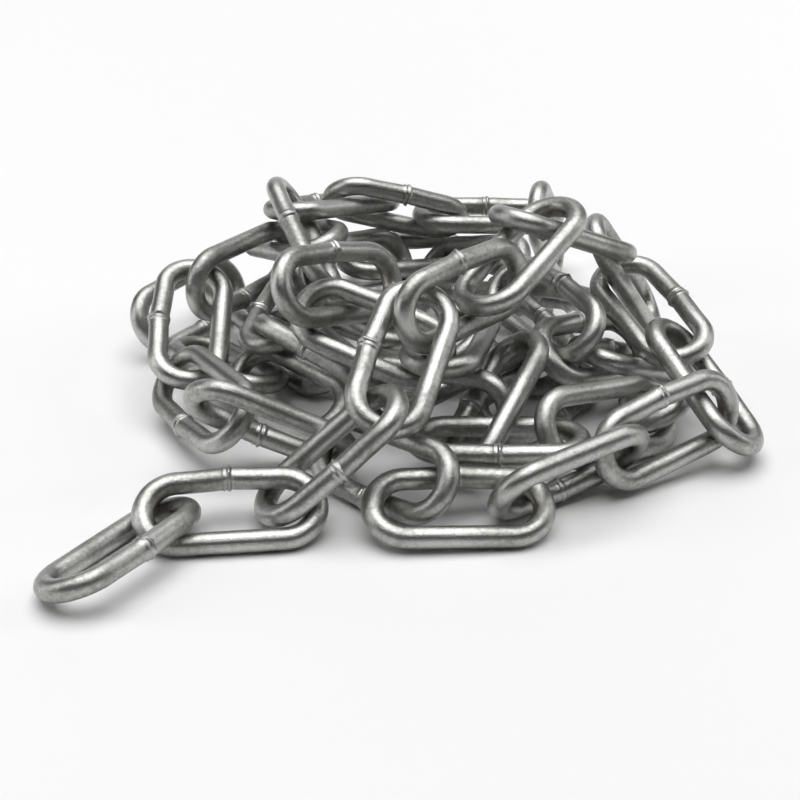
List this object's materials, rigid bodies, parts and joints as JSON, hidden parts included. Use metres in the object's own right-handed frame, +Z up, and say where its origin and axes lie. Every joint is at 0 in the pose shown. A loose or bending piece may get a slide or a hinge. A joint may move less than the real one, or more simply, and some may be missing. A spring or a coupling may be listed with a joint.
{
  "type": "heap of steel chain",
  "caption": "Loose heap of welded long-link steel chain, its long oval links threaded one through the next and lying where they fell.",
  "frame": {"origin": "middle of the heap's outline as seen from above, on the floor it lies on", "axes": "+Z up; +Y from the side the picture is taken from to the far side, along the heap's longest extent; +X to the right as the picture sees it"},
  "size_m": [0.2566, 0.2932, 0.0833],
  "materials": {
    "bright_steel": "bright zinc, satin, with drawn-wire marks"
  },
  "bodies": {
    "root": {"link_a01": "bright_steel", "link_a02": "bright_steel", "link_a03": "bright_steel", "link_a04": "bright_steel", "link_a05": "bright_steel", "link_a06": "bright_steel", "link_a07": "bright_steel", "link_a08": "bright_steel", "link_a09": "bright_steel", "link_a10": "bright_steel", "link_a11": "bright_steel", "link_a12": "bright_steel", "link_a13": "bright_steel", "link_a14": "bright_steel", "link_a15": "bright_steel", "link_a16": "bright_steel", "link_a17": "bright_steel", "link_a18": "bright_steel", "link_a19": "bright_steel", "link_a20": "bright_steel", "link_a21": "bright_steel", "link_a22": "bright_steel", "link_a23": "bright_steel", "link_a24": "bright_steel", "link_b01": "bright_steel", "link_b02": "bright_steel", "link_b03": "bright_steel", "link_b04": "bright_steel", "link_b05": "bright_steel", "link_b06": "bright_steel", "link_b07": "bright_steel", "link_b08": "bright_steel", "link_b09": "bright_steel", "link_b10": "bright_steel", "link_b11": "bright_steel", "link_b12": "bright_steel", "link_b13": "bright_steel", "link_c01": "bright_steel", "link_c02": "bright_steel", "link_d01": "bright_steel", "link_d02": "bright_steel", "link_d03": "bright_steel", "link_e01": "bright_steel", "link_e02": "bright_steel", "link_f01": "bright_steel", "link_f02": "bright_steel", "link_f03": "bright_steel", "link_g01": "bright_steel", "link_h01": "bright_steel", "link_h02": "bright_steel", "link_i01": "bright_steel", "link_i02": "bright_steel", "link_i03": "bright_steel", "link_i04": "bright_steel"}
  },
  "joints": []
}
